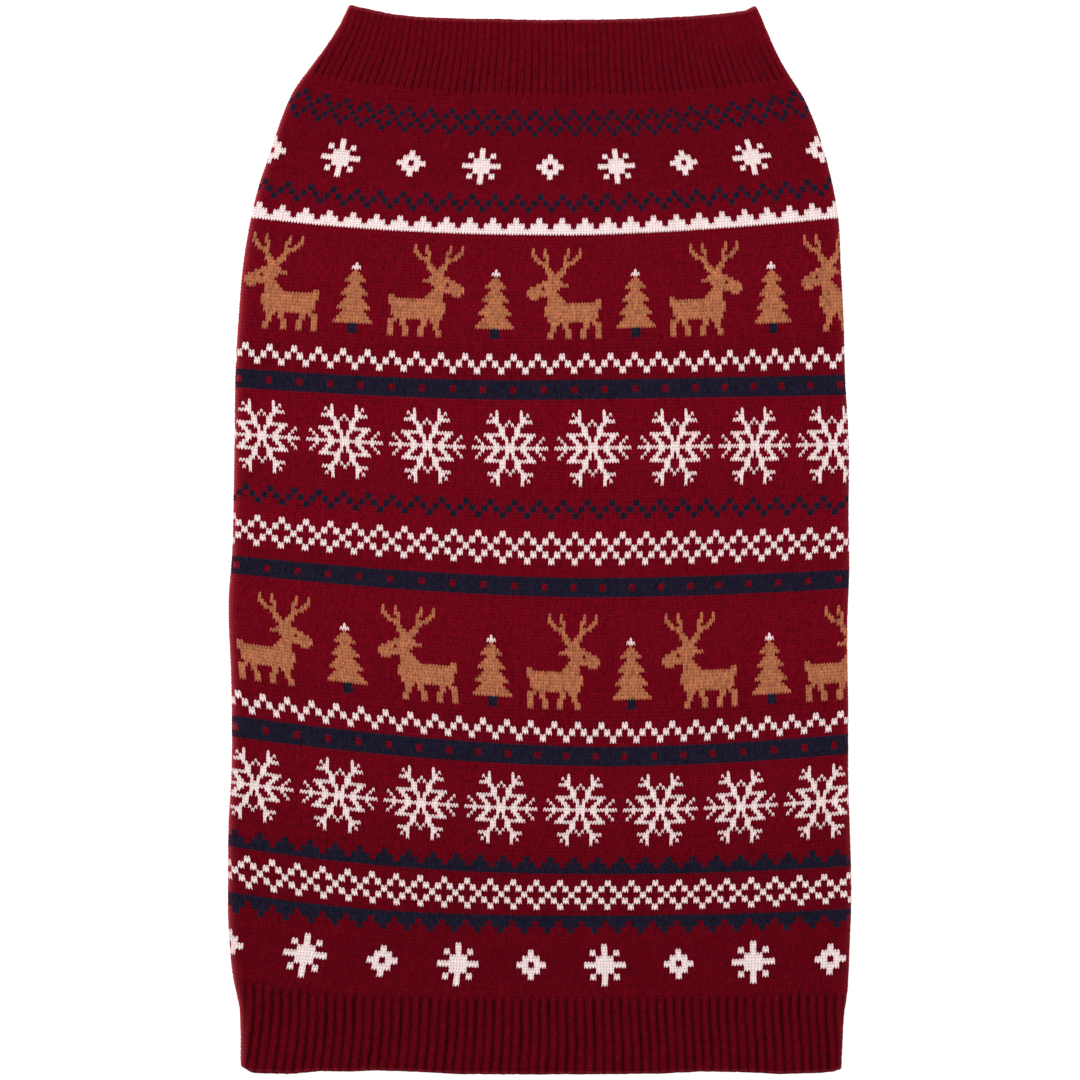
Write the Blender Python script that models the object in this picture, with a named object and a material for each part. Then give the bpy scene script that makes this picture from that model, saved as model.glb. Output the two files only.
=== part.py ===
"""A knitted dog sweater that lies flat on its belly side.

It is a flattened tube in four sewn pieces: a back panel that wraps round both side folds, a belly
panel with two leg openings between the side seams, a ribbed collar and a ribbed hem. +Y runs to
the neck, +X to the right and +Z up. The origin is on the floor under the middle of the garment.
"""
import math
from collections import namedtuple

import bmesh
import bpy

MM = 0.001

# Cloth and seams
WALL = 2.0 * MM
SEAM_GAP = 0.3 * MM
MIDDLE_HEIGHT = 4.7 * MM      # both layers with the air between them
FOLD_HEIGHT = 6.6 * MM        # the layers spring apart at the side folds
FOLD_DEPTH = 6.0 * MM         # how far in from the edge a fold rounds over
FOLD_SWELL = 5.0              # the higher, the closer the spring stays to the fold
COURSE_BOW = 2.6              # power of the rows' upward bow towards the folds

# The side seams run along the underside, this far in from the folds
SEAM_INSET = 38.0 * MM

# Leg openings, in the belly panel
LEG_HALF_WIDTH = 33.0 * MM
LEG_HALF_LENGTH = 42.0 * MM
LEG_FROM_MIDDLE = 74.0 * MM
LEG_BELOW_COLLAR = 88.0 * MM
LEG_POINTS = 36

# Ribbing: each rib is one sunk column of stitches and two raised, given as their heights
NECK_RIBS = 67
HEM_RIBS = 66
RIB_COLUMNS = [-0.35 * MM, 0.45 * MM, 0.45 * MM]

# Points along one section
FOLD_STEPS = 6
BACK_STEPS = 24
RETURN_STEPS = 2
RIB_UNDER_STEPS = 12

# Each row is one course of stitches, in millimetres: its height on the centre line, how far out
# each fold is, and how much higher the course stands at that fold than on the centre line.
Course = namedtuple("Course", "middle left left_rise right right_rise")
COLLAR = [
    Course(296.6, -110.0, 8.6, 123.5, 6.9),
    Course(282.4, -116.5, 8.4, 129.4, 7.6),
    Course(268.1, -125.6, 8.8, 135.5, 9.0),
    Course(253.8, -135.7, 9.1, 143.2, 9.4),
]
BODY = [
    COLLAR[-1],
    Course(233.8, -146.0, 10.3, 154.3, 9.1),
    Course(213.8, -153.8, 10.0, 161.6, 9.1),
    Course(193.9, -159.7, 9.7, 166.8, 8.3),
    Course(174.4, -164.5, 9.7, 170.3, 8.0),
    Course(148.2, -169.1, 8.0, 171.8, 5.1),
    Course(119.6, -171.7, 6.9, 173.4, 3.4),
    Course(91.1, -173.4, 6.9, 174.2, 2.9),
    Course(51.1, -174.0, 9.1, 176.0, 4.0),
    Course(11.1, -174.6, 11.4, 176.2, 5.7),
    Course(-22.0, -175.5, 12.3, 176.6, 6.3),
    Course(-45.0, -177.2, 12.9, 175.7, 7.0),
    Course(-103.1, -174.9, 14.3, 176.0, 6.9),
    Course(-148.7, -176.0, 14.3, 175.3, 6.3),
    Course(-177.3, -177.4, 14.3, 177.2, 5.1),
    Course(-205.8, -177.8, 13.1, 177.8, 4.0),
    Course(-234.4, -177.1, 10.9, 176.9, 4.0),
    Course(-261.2, -174.0, 7.1, 175.5, 2.5),
]
HEM = [
    BODY[-1],
    Course(-275.9, -171.6, 5.6, 173.5, 2.5),
    Course(-290.6, -170.5, 4.0, 172.6, 2.4),
    Course(-305.2, -169.6, 2.6, 171.4, 2.3),
]

# Yarn colours, linear
DEEP_RED = (0.150, 0.004, 0.010, 1.0)
RIB_RED = (0.135, 0.004, 0.009, 1.0)
KNIT_ROUGHNESS = 0.92

# Mesh cleaning
WELD_DISTANCE = 0.01 * MM
SHARP_ANGLE = math.radians(40)


def clear_scene():
    for old in list(bpy.data.objects):
        bpy.data.objects.remove(old, do_unlink=True)


def knit_material(name, colour):
    material = bpy.data.materials.new(name)
    material.use_nodes = True
    shader = material.node_tree.nodes["Principled BSDF"]
    shader.inputs["Base Color"].default_value = colour
    shader.inputs["Roughness"].default_value = KNIT_ROUGHNESS
    shader.inputs["Metallic"].default_value = 0.0
    return material


def across(course, x):
    """Where x lies between the folds of a course: -1 at the left fold, 1 at the right."""
    middle = (course.left + course.right) / 2 * MM
    half = (course.right - course.left) / 2 * MM
    return max(-1.0, min(1.0, (x - middle) / half))


def course_y(course, x):
    """The course's own bowed line, read at x."""
    t = across(course, x)
    rise = course.left_rise if t < 0 else course.right_rise
    return (course.middle + rise * abs(t) ** COURSE_BOW) * MM


def top_height(course, x):
    """The upper layer's outer height: lowest in the middle, highest just inside the folds."""
    swell = abs(across(course, x)) ** FOLD_SWELL
    return MIDDLE_HEIGHT + (FOLD_HEIGHT - MIDDLE_HEIGHT) * swell


def spaced(start, end, steps):
    return [start + (end - start) * i / steps for i in range(steps + 1)]


def fold_points(course, side, inward):
    """One side fold, an upright half ellipse from the underside to the top, moved in by inward."""
    edge = course.right if side > 0 else course.left
    centre_x = edge * MM - side * FOLD_DEPTH
    half_height = top_height(course, centre_x) / 2
    points = []
    for angle in spaced(-math.pi / 2, math.pi / 2, FOLD_STEPS):
        x = centre_x + side * (FOLD_DEPTH - inward) * math.cos(angle)
        z = half_height + (half_height - inward) * math.sin(angle)
        points.append((x, course_y(course, x), z))
    return points


def upper_points(course, steps, inward, relief):
    """The upper layer from right to left, between the folds and without their own end points.

    relief gives the height that is added at each step.
    """
    right = course.right * MM - FOLD_DEPTH
    left = course.left * MM + FOLD_DEPTH
    points = []
    for i, x in enumerate(spaced(right, left, steps)):
        if 0 < i < steps:
            points.append((x, course_y(course, x), top_height(course, x) - inward + relief(i)))
    return points


def under_points(course, start, end, steps, inward):
    """The underside from start to end, both of them included."""
    return [(x, course_y(course, x), inward) for x in spaced(start, end, steps)]


def plain(step):
    return 0.0


def rib_relief(step):
    return RIB_COLUMNS[step % len(RIB_COLUMNS)]


def back_section(course, inward):
    """From the right side seam, round the right fold, over the top and round the left fold."""
    right_seam = course.right * MM - SEAM_INSET
    left_seam = course.left * MM + SEAM_INSET
    right_fold = course.right * MM - FOLD_DEPTH
    left_fold = course.left * MM + FOLD_DEPTH
    points = under_points(course, right_seam, right_fold, RETURN_STEPS, inward)[:-1]
    points += fold_points(course, 1, inward)
    points += upper_points(course, BACK_STEPS, inward, plain)
    points += reversed(fold_points(course, -1, inward))
    points += under_points(course, left_fold, left_seam, RETURN_STEPS, inward)[1:]
    return points


def rib_section(course, inward, ribs):
    """A whole ring of ribbing, with ribs on the upper side only and a plain inside."""
    raised = plain if inward else rib_relief
    right_fold = course.right * MM - FOLD_DEPTH
    left_fold = course.left * MM + FOLD_DEPTH
    points = fold_points(course, 1, inward)
    points += upper_points(course, ribs * len(RIB_COLUMNS), inward, raised)
    points += reversed(fold_points(course, -1, inward))
    points += under_points(course, left_fold, right_fold, RIB_UNDER_STEPS, inward)[1:-1]
    return points


def between(courses, low_gap, high_gap):
    """The same courses with the first moved down and the last moved up by a seam's half gap."""
    moved = list(courses)
    moved[0] = moved[0]._replace(middle=moved[0].middle - high_gap / MM)
    moved[-1] = moved[-1]._replace(middle=moved[-1].middle + low_gap / MM)
    return moved


def cloth_wall(name, courses, section, closed):
    """Lofts a wall through the outer and inner points of each course, and closes its rims."""
    work = bmesh.new()
    outer = [[work.verts.new(p) for p in section(course, 0.0)] for course in courses]
    inner = [[work.verts.new(p) for p in section(course, WALL)] for course in courses]
    count = len(outer[0])
    spans = range(count if closed else count - 1)
    for row in range(len(courses) - 1):
        for i in spans:
            j = (i + 1) % count
            work.faces.new((outer[row][i], outer[row][j], outer[row + 1][j], outer[row + 1][i]))
            work.faces.new((inner[row][j], inner[row][i], inner[row + 1][i], inner[row + 1][j]))
    for i in spans:
        j = (i + 1) % count
        work.faces.new((inner[0][i], inner[0][j], outer[0][j], outer[0][i]))
        work.faces.new((outer[-1][i], outer[-1][j], inner[-1][j], inner[-1][i]))
    if not closed:
        for row in range(len(courses) - 1):
            for i, order in ((0, 1), (count - 1, -1)):
                rim = (inner[row][i], outer[row][i], outer[row + 1][i], inner[row + 1][i])
                work.faces.new(rim[::order])
    bmesh.ops.triangulate(work, faces=work.faces[:])
    bmesh.ops.recalc_face_normals(work, faces=work.faces[:])
    mesh = bpy.data.meshes.new(name)
    work.to_mesh(mesh)
    work.free()
    return bpy.data.objects.new(name, mesh)


def seam_line(courses, side):
    """The belly panel's edge beside one side seam, from the collar to the hem."""
    points = []
    for course in courses:
        edge = course.right if side > 0 else course.left
        x = edge * MM - side * (SEAM_INSET + SEAM_GAP)
        points.append((x, course_y(course, x)))
    return points


def end_line(course, start, end):
    """The belly panel's edge along the collar or the hem, without its corners."""
    return [(x, course_y(course, x)) for x in spaced(start, end, RIB_UNDER_STEPS)[1:-1]]


def leg_opening(side, collar_seam):
    centre_x = side * LEG_FROM_MIDDLE
    centre_y = collar_seam - LEG_BELOW_COLLAR
    angles = spaced(0.0, 2 * math.pi, LEG_POINTS)[:-1]
    return [
        (centre_x + LEG_HALF_WIDTH * math.cos(a), centre_y + LEG_HALF_LENGTH * math.sin(a))
        for a in angles
    ]


def add_outline(curve, points):
    spline = curve.splines.new("POLY")
    spline.points.add(len(points) - 1)
    for target, (x, y) in zip(spline.points, points):
        target.co = (x, y, 0.0, 1.0)
    spline.use_cyclic_u = True


def belly_solid(name, courses):
    """A flat outline with two leg openings, as thick as the cloth and lying on the floor."""
    right = seam_line(courses, 1)
    left = seam_line(courses, -1)
    outline = list(right)
    outline += end_line(courses[-1], right[-1][0], left[-1][0])
    outline += reversed(left)
    outline += end_line(courses[0], left[0][0], right[0][0])
    curve = bpy.data.curves.new(name + "_outline", "CURVE")
    curve.dimensions = "2D"
    curve.fill_mode = "BOTH"
    curve.extrude = WALL / 2
    add_outline(curve, outline)
    for side in (-1, 1):
        add_outline(curve, leg_opening(side, COLLAR[-1].middle * MM))
    flat = bpy.data.objects.new(name + "_outline", curve)
    flat.location.z = WALL / 2
    bpy.context.scene.collection.objects.link(flat)
    graph = bpy.context.evaluated_depsgraph_get()
    mesh = bpy.data.meshes.new_from_object(flat.evaluated_get(graph))
    mesh.name = name
    work = bmesh.new()
    work.from_mesh(mesh)
    bmesh.ops.remove_doubles(work, verts=work.verts[:], dist=WELD_DISTANCE)
    bmesh.ops.triangulate(work, faces=work.faces[:])
    bmesh.ops.recalc_face_normals(work, faces=work.faces[:])
    work.to_mesh(mesh)
    work.free()
    solid = bpy.data.objects.new(name, mesh)
    solid.matrix_world = flat.matrix_world.copy()
    bpy.data.objects.remove(flat, do_unlink=True)
    return solid


def finish_piece(piece, collection, colour):
    piece.data.materials.clear()
    piece.data.materials.append(knit_material(piece.name + "_knit", colour))
    piece.data.shade_smooth()
    piece.data.set_sharp_from_angle(angle=SHARP_ANGLE)
    collection.objects.link(piece)


def build():
    clear_scene()
    sweater = bpy.data.collections.new("dog_sweater")
    bpy.context.scene.collection.children.link(sweater)
    half_gap = SEAM_GAP / 2
    body = between(BODY, half_gap, half_gap)
    collar = between(COLLAR, half_gap, 0.0)
    hem = between(HEM, 0.0, half_gap)
    finish_piece(cloth_wall("back_panel", body, back_section, False), sweater, DEEP_RED)
    finish_piece(belly_solid("belly_panel", body), sweater, DEEP_RED)
    finish_piece(
        cloth_wall("neck_rib", collar, lambda c, d: rib_section(c, d, NECK_RIBS), True),
        sweater,
        RIB_RED,
    )
    finish_piece(
        cloth_wall("hem_rib", hem, lambda c, d: rib_section(c, d, HEM_RIBS), True),
        sweater,
        RIB_RED,
    )


build()
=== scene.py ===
"""The looks of a knitted dog sweater that lies flat on its belly side, with its back up.

The cloth is built stitch by stitch. Every place on it is a wale, a column of stitches counted
round the tube from the left fold, and a row, counted from the collar's edge to the hem's. The
surface functions turn these into a point on the flattened tube. Lengths are in millimetres until
a mesh is made. +Y runs to the neck, +X to the right and +Z up.
"""
import math
from collections import namedtuple

import bpy
import mathutils
import numpy as np
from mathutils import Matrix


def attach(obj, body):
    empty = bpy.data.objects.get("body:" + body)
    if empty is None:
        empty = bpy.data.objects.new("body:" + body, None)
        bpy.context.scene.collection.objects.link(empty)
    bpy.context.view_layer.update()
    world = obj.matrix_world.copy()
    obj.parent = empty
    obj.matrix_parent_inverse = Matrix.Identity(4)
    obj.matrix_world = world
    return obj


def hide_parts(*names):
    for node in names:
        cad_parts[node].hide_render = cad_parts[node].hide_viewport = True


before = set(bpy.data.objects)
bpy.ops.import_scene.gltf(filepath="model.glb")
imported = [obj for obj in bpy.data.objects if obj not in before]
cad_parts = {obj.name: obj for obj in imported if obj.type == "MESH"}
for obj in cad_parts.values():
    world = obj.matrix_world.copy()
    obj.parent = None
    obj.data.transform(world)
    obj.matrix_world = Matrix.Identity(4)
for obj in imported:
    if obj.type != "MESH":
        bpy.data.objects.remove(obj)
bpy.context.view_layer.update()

MM = 0.001

# Cloth, as in the solids
WALL = 2.0
MIDDLE_HEIGHT = 4.7
FOLD_HEIGHT = 6.6
FOLD_DEPTH = 6.0
FOLD_SWELL = 5.0              # power by which the height grows from the middle to the folds
QUARTER_FOLD = 7.4            # length of cloth in a quarter of a fold
FULL_TURN = math.pi / 2 - 1e-6    # beyond this the cloth has turned and lies level
UPPER_WALES = 206             # wales from the left fold to the right one
TUBE_WALES = 2 * UPPER_WALES
UPPER_MIDDLE = UPPER_WALES // 2              # the wale midway on the upper side
UNDER_MIDDLE = UPPER_WALES + UPPER_MIDDLE    # and the one on the underside
SEAM_WALES = 23               # wales from a fold to the side seam on the underside

# Stitches: each one is two slanted legs that meet at the top
HALF_LEG = 0.25               # in wales
HALF_ROW = 0.5
LEG_SLANT = 0.44              # how many rows higher a stitch's middle is than its feet
CREST = -0.10                 # depths below the cloth's surface, so this one stands proud
MIDDLE_GROOVE = 0.14
SIDE_GROOVE = 0.24
UNDERSIDE_CREST = 0.02
UNDERSIDE_GROOVE = 0.30
UNDERSIDE_RIB_LOSS = 0.6      # share of the ribs' depth that the underside doesn't have
CHANGE_START = 1.0            # wales before a fold where the stitches start to flatten
CHANGE_WALES = 4.0            # and how many wales that takes

NECK_ROWS = 24
HEM_ROWS = 24
EDGE_ROUND = 0.5              # how far the free edges are rounded off
EDGE_SLANT = 0.30             # the leg slant along the free edges, which makes fine scallops
SHIFT_ACROSS = 0.12           # how unevenly the stitches lie
SHIFT_ALONG = 0.16
SHIFT_DEPTH = 0.05

# Ribbing: two raised wales and one sunk, and it is plain where it meets the body. It starts at a
# wale, its depths are those at each half wale, and the last two are shares of them.
Ribbing = namedtuple("Ribbing", "start depths at_body at_edge")
NECK_RIBBING = Ribbing(1, [0.55, 0.0, 0.20, 0.0, 0.55, 1.40], 1.0, 0.62)
HEM_RIBBING = Ribbing(2, [0.72, 0.06, 0.0, 0.06, 0.72, 1.60], 1.0, 0.92)
RIB_ROW_FADE = 0.4
RIB_UNEVEN = 0.22             # how much the valleys' depth varies, by two waves
QUICK_WAVE = 2.4              # how far each wave turns from one valley to the next, in radians
SLOW_WAVE = 0.9
SLOW_WAVE_ALONG = 0.25        # and how far the slow one turns in a row
# The collar is stretched flat at its right end, from one wale to another and from a row up
FLAT_FROM = 158
FLAT_TO = 190
FLAT_ROWS = 15
FLAT_LOSS = 0.75

# Leg openings in the belly panel, as in the solids
LEG_HALF_WIDTH = 33.0
LEG_HALF_LENGTH = 42.0
LEG_FROM_MIDDLE = 74.0
LEG_Y = 165.8

# Each row is one course of stitches: its height on the centre line and where its folds are
Outline = namedtuple("Outline", "middle left right")
OUTLINE = [
    Outline(296.6, -108.6, 123.5),
    Outline(282.4, -115.0, 129.6),
    Outline(268.1, -123.8, 136.0),
    Outline(253.8, -133.3, 143.4),
    Outline(233.8, -144.7, 154.0),
    Outline(213.8, -152.8, 161.6),
    Outline(193.9, -159.7, 166.8),
    Outline(174.4, -164.5, 170.3),
    Outline(148.2, -169.1, 171.8),
    Outline(119.6, -171.7, 173.4),
    Outline(91.1, -173.4, 174.2),
    Outline(51.1, -174.0, 176.4),
    Outline(11.1, -174.6, 176.2),
    Outline(-22.0, -175.5, 176.6),
    Outline(-45.0, -177.2, 175.7),
    Outline(-103.1, -175.8, 176.0),
    Outline(-148.7, -175.8, 176.2),
    Outline(-177.3, -177.4, 177.2),
    Outline(-205.8, -177.8, 177.8),
    Outline(-234.4, -177.4, 176.9),
    Outline(-261.2, -174.7, 175.5),
    Outline(-275.9, -171.6, 173.5),
    Outline(-290.6, -170.6, 173.1),
    Outline(-305.2, -170.9, 172.4),
]

# How a course bows: lowest at x = low and higher at each fold, by a power of the distance
Bow = namedtuple("Bow", "middle low left_rise left_power right_rise right_power")
BOW = [
    Bow(296.6, 15.0, 10.3, 3.9, 6.9, 3.0),
    Bow(253.8, 18.0, 12.4, 3.1, 9.6, 2.5),
    Bow(244.0, 32.0, 13.9, 4.0, 11.4, 2.0),
    Bow(230.0, 28.0, 12.6, 3.0, 11.0, 1.9),
    Bow(212.0, 17.0, 9.9, 2.3, 10.2, 1.7),
    Bow(184.0, 15.0, 9.8, 2.9, 9.9, 1.65),
    Bow(174.4, 15.0, 9.9, 2.2, 9.8, 1.6),
    Bow(91.1, -15.0, 6.9, 1.6, 3.3, 1.4),
    Bow(45.0, 5.0, 8.9, 1.55, 2.4, 0.9),
    Bow(12.0, 12.0, 10.6, 1.6, 3.0, 1.6),
    Bow(-22.0, 28.0, 13.0, 1.65, 4.9, 1.65),
    Bow(-106.0, 38.0, 18.9, 1.75, 7.0, 1.65),
    Bow(-118.0, 40.0, 18.2, 1.72, 7.6, 1.65),
    Bow(-133.0, 39.0, 16.7, 1.81, 7.0, 1.72),
    Bow(-190.0, 36.0, 16.2, 2.25, 4.8, 2.0),
    Bow(-212.0, 34.0, 14.2, 2.7, 4.2, 2.1),
    Bow(-224.3, 32.0, 12.6, 2.9, 4.2, 1.9),
    Bow(-242.0, 28.0, 12.0, 2.6, 4.2, 1.6),
    Bow(-261.2, 17.0, 11.0, 4.0, 3.2, 1.7),
    Bow(-305.2, 10.0, 2.8, 2.5, 2.3, 2.5),
]
CENTRE_LINE = 3.0             # the x of the line on which a row's height is read

# The cloth is pulled a little more on one side than on the other. Each row says how many wales the
# stitches lie to the right of an even spread, at these wales of the upper side.
DRIFT_WALES = [14, 40, 70, 103, 136, 166, 192]
Drift = namedtuple("Drift", ["middle"] + [f"w{wale}" for wale in DRIFT_WALES])
DRIFT = [
    Drift(296.6, -8.6, -10.0, -7.0, -3.2, 1.0, 2.7, 0.9),
    Drift(287.7, -8.1, -8.8, -6.1, -2.6, 0.7, 1.6, 0.7),
    Drift(271.6, -6.8, -5.7, -4.1, -1.6, -0.1, 0.3, 0.4),
    Drift(255.0, -5.0, -3.7, -2.2, -0.5, -0.5, -0.8, 0.3),
    Drift(238.0, -4.3, -3.6, -1.1, 0.1, -1.5, -1.8, -0.1),
    Drift(212.0, -2.5, -2.0, -0.4, 0.1, -0.6, -0.6, -0.5),
    Drift(180.0, -2.0, -1.1, -0.5, 0.0, 0.0, 0.0, -0.5),
    Drift(100.0, -2.0, -1.3, -0.5, 0.1, 0.7, 0.7, -0.9),
    Drift(52.0, -1.5, -1.0, -0.4, 0.1, 0.9, 0.8, -0.7),
    Drift(17.0, -1.0, -0.6, 0.0, 0.4, 0.5, -0.5, -1.4),
    Drift(-15.0, -1.2, -1.0, 0.0, 0.5, -0.5, -1.7, -2.4),
    Drift(-110.0, -0.5, 0.0, 0.5, 0.0, -1.0, -1.5, -1.6),
    Drift(-121.0, 0.2, 0.9, 0.9, 0.1, -1.1, -1.8, -1.5),
    Drift(-142.0, 0.4, 1.4, 1.2, 0.3, -0.5, -0.8, -1.3),
    Drift(-165.0, 0.1, 1.2, 1.2, -0.1, -0.9, -1.3, -2.0),
    Drift(-185.0, 0.4, 1.1, 1.1, -0.4, -1.4, -2.1, -2.5),
    Drift(-201.0, 0.4, 1.2, 0.7, -1.3, -2.1, -2.8, -2.9),
    Drift(-219.0, 1.6, 1.8, 1.2, -0.4, -1.8, -2.5, -1.7),
    Drift(-228.0, 2.0, 2.3, 1.7, -0.1, -1.2, -2.0, -1.5),
    Drift(-250.0, -0.7, -0.2, 0.7, 0.0, -0.6, -1.5, -1.3),
    Drift(-261.0, -2.5, -2.4, -0.8, -0.7, -0.8, -1.3, -1.4),
    Drift(-283.0, -5.3, -4.5, -2.6, -1.2, 0.0, -0.3, 0.2),
    Drift(-305.2, -7.6, -5.9, -3.9, -1.8, 0.7, 0.7, 1.3),
]

# The free edges wave a little: how far each place on them is pushed towards the neck
Wave = namedtuple("Wave", "x rise")
NECK_WAVES = [
    Wave(-111.2, -1.9),
    Wave(-96.9, -1.0),
    Wave(-82.6, -1.0),
    Wave(-68.3, -0.5),
    Wave(-54.1, 0.1),
    Wave(-25.5, 0.5),
    Wave(0.0, 0.0),
    Wave(74.4, 0.5),
    Wave(117.2, -0.6),
    Wave(125.8, 1.5),
]
HEM_WAVES = [
    Wave(-170.6, 2.3),
    Wave(-167.8, 0.6),
    Wave(-163.0, -1.1),
    Wave(-154.0, -1.0),
    Wave(-142.6, -1.1),
    Wave(-136.9, -0.5),
    Wave(-125.4, 1.0),
    Wave(-108.3, 1.2),
    Wave(-91.2, 2.1),
    Wave(-68.3, 1.4),
    Wave(-45.5, 0.5),
    Wave(0.0, 0.4),
    Wave(68.7, 0.7),
    Wave(91.5, 1.7),
    Wave(114.4, 1.1),
    Wave(137.2, -0.5),
    Wave(160.0, -0.4),
    Wave(168.0, 0.2),
    Wave(172.2, 1.2),
]

# Soft troughs and ridges in the upper layer: from one end to the other, half width and height
Crease = namedtuple("Crease", "x0 y0 x1 y1 width height")
CREASES = [
    Crease(-158.6, -244.7, -136.9, -291.5, 8.0, -1.4),
    Crease(-116.9, -223.0, -71.2, -300.0, 7.0, -0.8),
    Crease(-134.0, -43.1, -101.5, -96.2, 8.0, -0.6),
    Crease(-115.2, 199.6, -115.2, 102.5, 8.0, -0.3),
    Crease(-115.2, 79.7, -116.3, 11.1, 8.0, -0.35),
    Crease(-112.9, -125.9, -115.2, -208.7, 8.0, -0.45),
    Crease(152.1, 239.5, 150.9, 39.7, 5.0, 0.35),
    Crease(-66.1, -177.3, -54.6, -231.5, 8.0, 0.7),
    Crease(17.3, -148.7, 12.7, -184.1, 5.0, 0.45),
    Crease(130.4, -40.3, 125.8, -94.5, 7.0, -0.3),
    Crease(-110.0, 268.0, -107.0, 261.0, 4.0, -0.5),
]
CREASE_END = 14.0             # length over which a crease fades out past its ends

# Charts. A letter is one stitch: . ground, w off-white, n navy, t tan, x whichever a band says.
# These are borders, of which each row is knitted twice.
LATTICE = [
    "...xx...",
    ".xx..xx.",
    "x......x",
    ".xx..xx.",
    "...xx...",
]
ZIGZAG = [
    "xx......",
    "..xx..xx",
    "....xx..",
]
CROWN = [
    "...xx...",
    ".xxxxxx.",
    "xxxxxxxx",
]
DOTTED = [
    "xxxxxxxxxx",
    "xxxx..xxxx",
    "xxxxxxxxxx",
]
# The lower right quarter of each of these, from its middle out
STAR = [
    "xxxxxxx",
    "xxx....",
    "xxx....",
    "x..xx..",
    "x..xx..",
    "x......",
    "x......",
]
DIAMOND = [
    ".xxxx..",
    "xxx....",
    "xxx....",
    "x......",
    "x......",
    ".......",
    ".......",
]
# The lower right quarter of a snowflake, its middle row and middle wale first
SNOWFLAKE = [
    "xxxxxxxxxxxxx",
    "xx..xx...x...",
    ".x...xx...x..",
    ".xx...xx...x.",
    "..xxxxxxx....",
    "..xx.........",
    "..xx.........",
    ".x.xx........",
    "x...xxxx.....",
    "....xx.......",
    "....x.x......",
    "....x........",
]
DEER = [
    ".t...t.......t...t........",
    ".t...t.......t...t........",
    ".tt..tt.....tt..tt........",
    "..tt..t.....t..tt.........",
    "...tttt.....tttt..........",
    ".....tt.....tt............",
    "......tt...tt.............",
    "......ttt.ttt.............",
    ".......ttttt..............",
    ".......tttt...............",
    ".....ttttttt..............",
    "...ttttttttttt............",
    ".tttt.ttttt...............",
    "tttttttttt................",
    "ttttttttttt...............",
    ".ttt...ttttt..............",
    ".......tttttt..........tt.",
    ".......tttttttttttttttttt.",
    "......ttttttttttttttttttt.",
    "......tttttttttttttttttt..",
    "......tttttttttttttttttt..",
    ".......ttttttttttttttttt..",
    ".......tttttttttttttttt...",
    "........ttt.tt.....tt.ttt.",
    "........tt..tt.....tt..tt.",
    "........tt...tt...tt...tt.",
    ".......tt....tt...tt...tt.",
    ".......tt....tt...tt...tt.",
]
TREE = [
    "......w......",
    ".....www.....",
    "......t......",
    ".....ttt.....",
    "....ttttt....",
    "...ttttttt...",
    ".....ttt.....",
    "....ttttt....",
    "...ttttttt...",
    "..ttttttttt..",
    "....ttttt....",
    "...ttttttt...",
    "..ttttttttt..",
    ".ttttttttttt.",
    "...ttttttt...",
    "..ttttttttt..",
    ".ttttttttttt.",
    "ttttttttttttt",
    ".....nnn.....",
    ".....nnn.....",
    ".....nnn.....",
]


def in_colour(chart, letter):
    return [line.replace("x", letter) for line in chart]


def border(chart, letter):
    return [line for line in in_colour(chart, letter) for _ in range(2)]


def mirrored(chart):
    return [line[::-1] for line in chart]


def from_quarter(quarter, shared_middle):
    """A whole motif from its lower right quarter. With a shared middle, its sides are odd."""
    skip = 1 if shared_middle else 0
    half = [line[::-1] + line[skip:] for line in quarter]
    return half[::-1] + half[skip:]


def side_by_side(charts, gap):
    """Charts next to each other, their feet in one row, with gap empty wales after each."""
    rows = max(len(chart) for chart in charts)
    lines = [""] * rows
    for chart in charts:
        padded = ["." * len(chart[0])] * (rows - len(chart)) + chart
        lines = [line + part + "." * gap for line, part in zip(lines, padded)]
    return lines


def centred(chart, width):
    """The chart with empty wales on both sides, up to a width."""
    before = (width - len(chart[0])) // 2
    after = width - len(chart[0]) - before
    return ["." * before + line + "." * after for line in chart]


STARS = side_by_side([centred(from_quarter(quarter, False), 25) for quarter in (STAR, DIAMOND)], 0)
FLAKES = centred(from_quarter(SNOWFLAKE, True), 27)
FOREST = side_by_side([DEER, TREE, mirrored(DEER), TREE], 4)

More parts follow.
